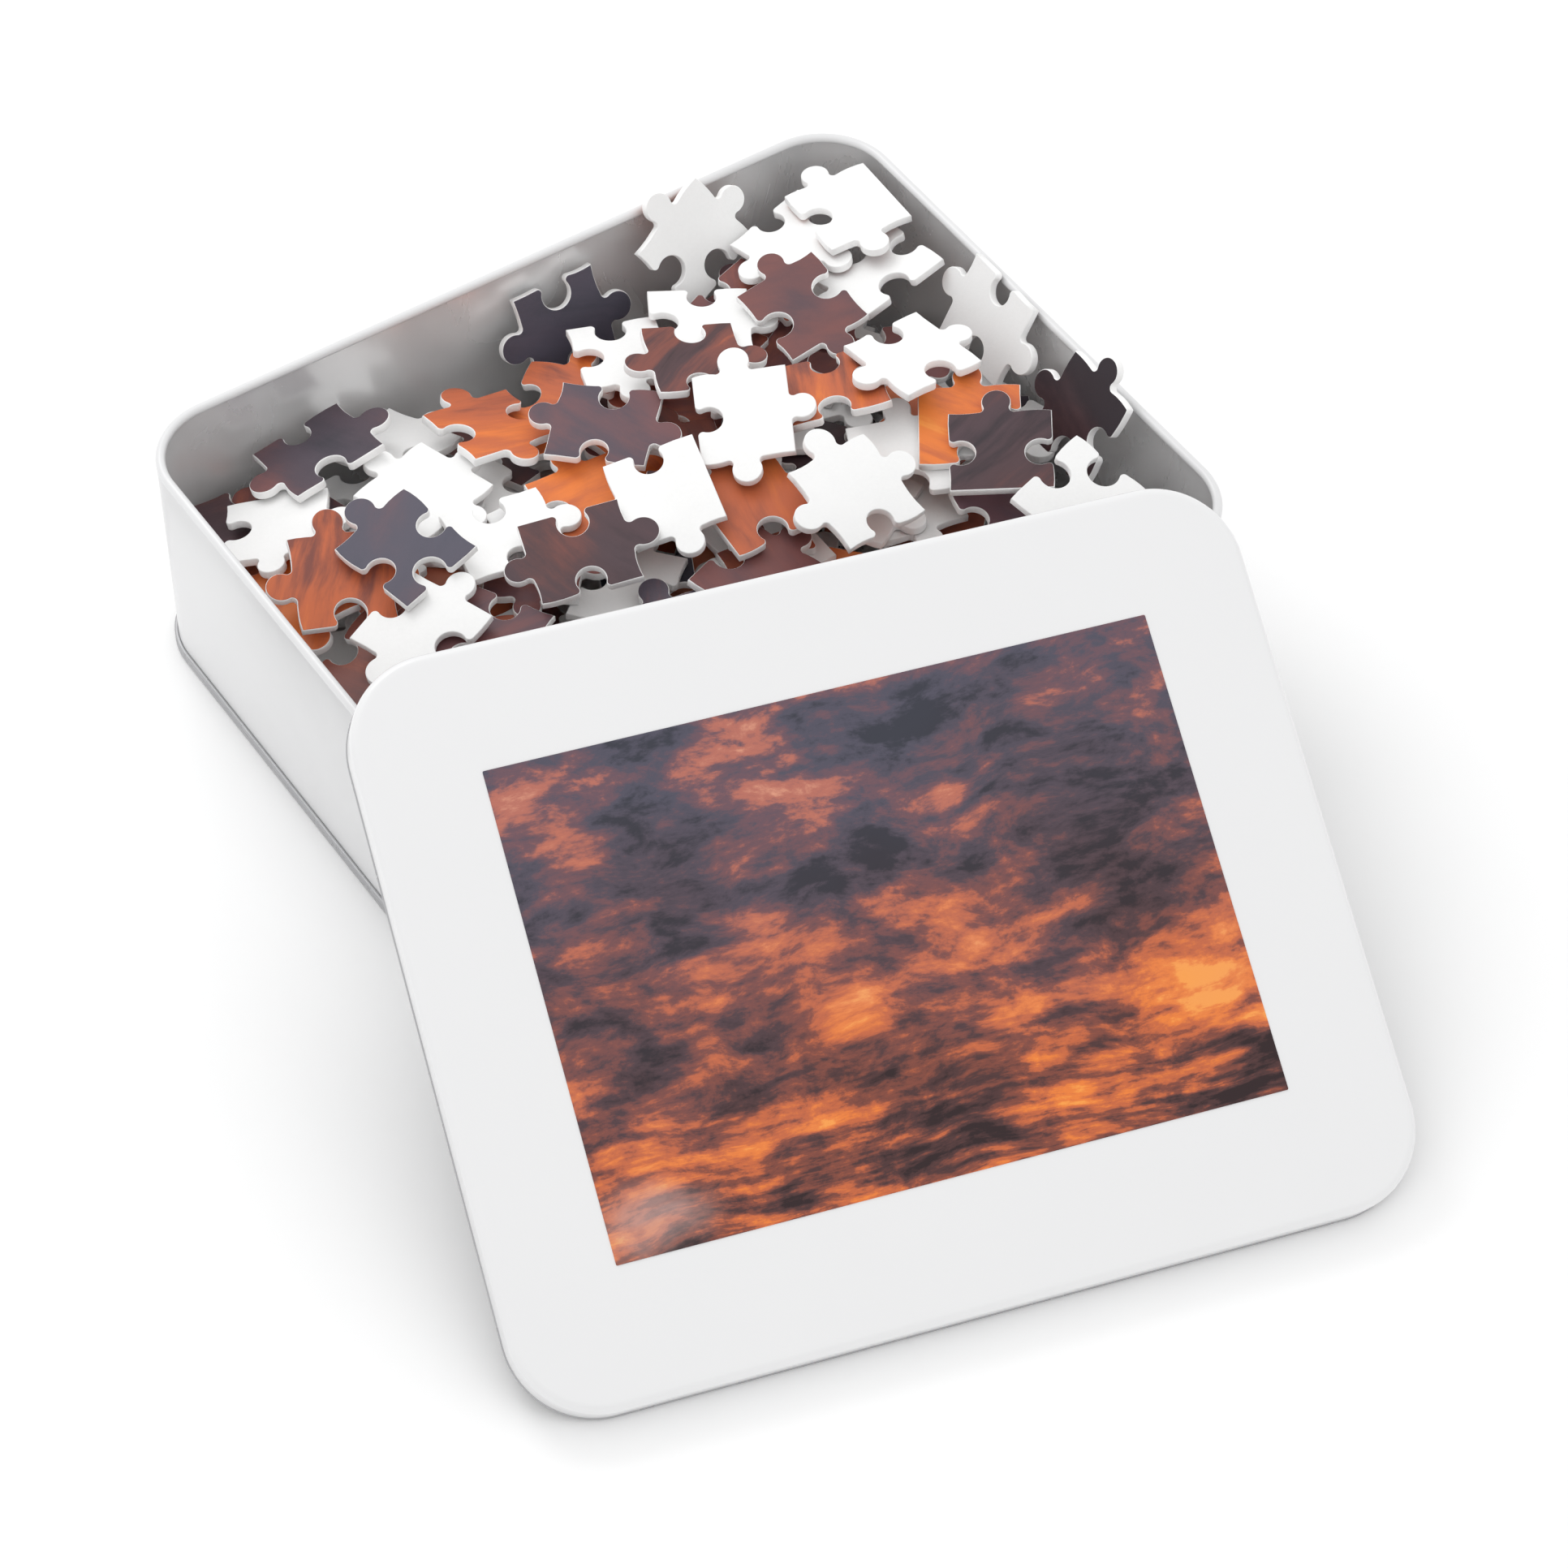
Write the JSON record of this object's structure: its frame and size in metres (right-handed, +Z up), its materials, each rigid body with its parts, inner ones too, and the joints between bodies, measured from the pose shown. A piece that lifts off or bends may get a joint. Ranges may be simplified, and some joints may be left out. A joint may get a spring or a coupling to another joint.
{
  "type": "boxed jigsaw puzzle",
  "caption": "Rectangular tin with rounded corners full of loose jigsaw pieces; the shallow lid with a printed picture leans against it.",
  "frame": {"origin": "centre of the tin's underside", "axes": "+Z up, +X along the tin's long side to the right, +Y to the tin's back; the lid leans on the front-left"},
  "size_m": [0.2029, 0.2489, 0.0697],
  "materials": {
    "lacquered_tin": "white lacquer outside, bare tinplate inside",
    "lacquered_lid": "satin white lacquer",
    "printed_label": "printed sunset clouds under satin varnish",
    "board": "pressed greyboard, printed on one side and white on the other"
  },
  "bodies": {
    "tin": {"buried_layer_1_back_up": "board", "buried_layer_1_print_up": "board", "buried_layer_2_back_up": "board", "buried_layer_2_print_up": "board", "buried_layer_3_back_up": "board", "buried_layer_3_print_up": "board", "buried_layer_4_back_up": "board", "buried_layer_4_print_up": "board", "buried_layer_5_back_up": "board", "buried_layer_5_print_up": "board", "piece_01_print_up": "board", "piece_02_back_up": "board", "piece_03_back_up": "board", "piece_04_print_up": "board", "piece_05_print_up": "board", "piece_06_print_up": "board", "piece_07_print_up": "board", "piece_08_print_up": "board", "piece_09_print_up": "board", "piece_10_print_up": "board", "piece_11_print_up": "board", "piece_12_print_up": "board", "piece_13_print_up": "board", "piece_14_print_up": "board", "piece_15_print_up": "board", "piece_16_print_up": "board", "piece_17_print_up": "board", "piece_18_back_up": "board", "piece_19_back_up": "board", "piece_20_print_up": "board", "piece_21_back_up": "board", "piece_22_back_up": "board", "piece_23_print_up": "board", "piece_24_back_up": "board", "piece_25_back_up": "board", "piece_26_back_up": "board", "piece_27_back_up": "board", "piece_28_back_up": "board", "piece_29_print_up": "board", "piece_30_back_up": "board", "piece_31_print_up": "board", "piece_33_back_up": "board", "piece_35_print_up": "board", "piece_36_print_up": "board", "piece_39_print_up": "board", "piece_40_back_up": "board", "piece_42_back_up": "board", "piece_45_print_up": "board", "tin_base": "lacquered_tin", "tin_wall": "lacquered_tin"},
    "lid": {"lid_pan": "lacquered_lid", "lid_label": "printed_label"},
    "loose_piece_32": {"piece_32_print_up": "board"},
    "loose_piece_34": {"piece_34_print_up": "board"},
    "loose_piece_37": {"piece_37_back_up": "board"},
    "loose_piece_38": {"piece_38_print_up": "board"},
    "loose_piece_41": {"piece_41_back_up": "board"},
    "loose_piece_43": {"piece_43_print_up": "board"},
    "loose_piece_44": {"piece_44_back_up": "board"},
    "loose_piece_46": {"piece_46_back_up": "board"}
  },
  "joints": [
    {"name": "lid_lift", "type": "slide", "parent": "tin", "child": "lid", "axis": [-0.1292, -0.4417, 0.8878], "range_m": [0, 0.1]},
    {"name": "piece_32_lift", "type": "slide", "parent": "tin", "child": "loose_piece_32", "axis": [0, 0, 1], "range_m": [0, 0.06]},
    {"name": "piece_34_lift", "type": "slide", "parent": "tin", "child": "loose_piece_34", "axis": [0, 0, 1], "range_m": [0, 0.06]},
    {"name": "piece_37_lift", "type": "slide", "parent": "tin", "child": "loose_piece_37", "axis": [0, 0, 1], "range_m": [0, 0.06]},
    {"name": "piece_38_lift", "type": "slide", "parent": "tin", "child": "loose_piece_38", "axis": [0, 0, 1], "range_m": [0, 0.06]},
    {"name": "piece_41_lift", "type": "slide", "parent": "tin", "child": "loose_piece_41", "axis": [0, 0, 1], "range_m": [0, 0.06]},
    {"name": "piece_43_lift", "type": "slide", "parent": "tin", "child": "loose_piece_43", "axis": [0, 0, 1], "range_m": [0, 0.06]},
    {"name": "piece_44_lift", "type": "slide", "parent": "tin", "child": "loose_piece_44", "axis": [0, 0, 1], "range_m": [0, 0.06]},
    {"name": "piece_46_lift", "type": "slide", "parent": "tin", "child": "loose_piece_46", "axis": [0, 0, 1], "range_m": [0, 0.06]}
  ]
}
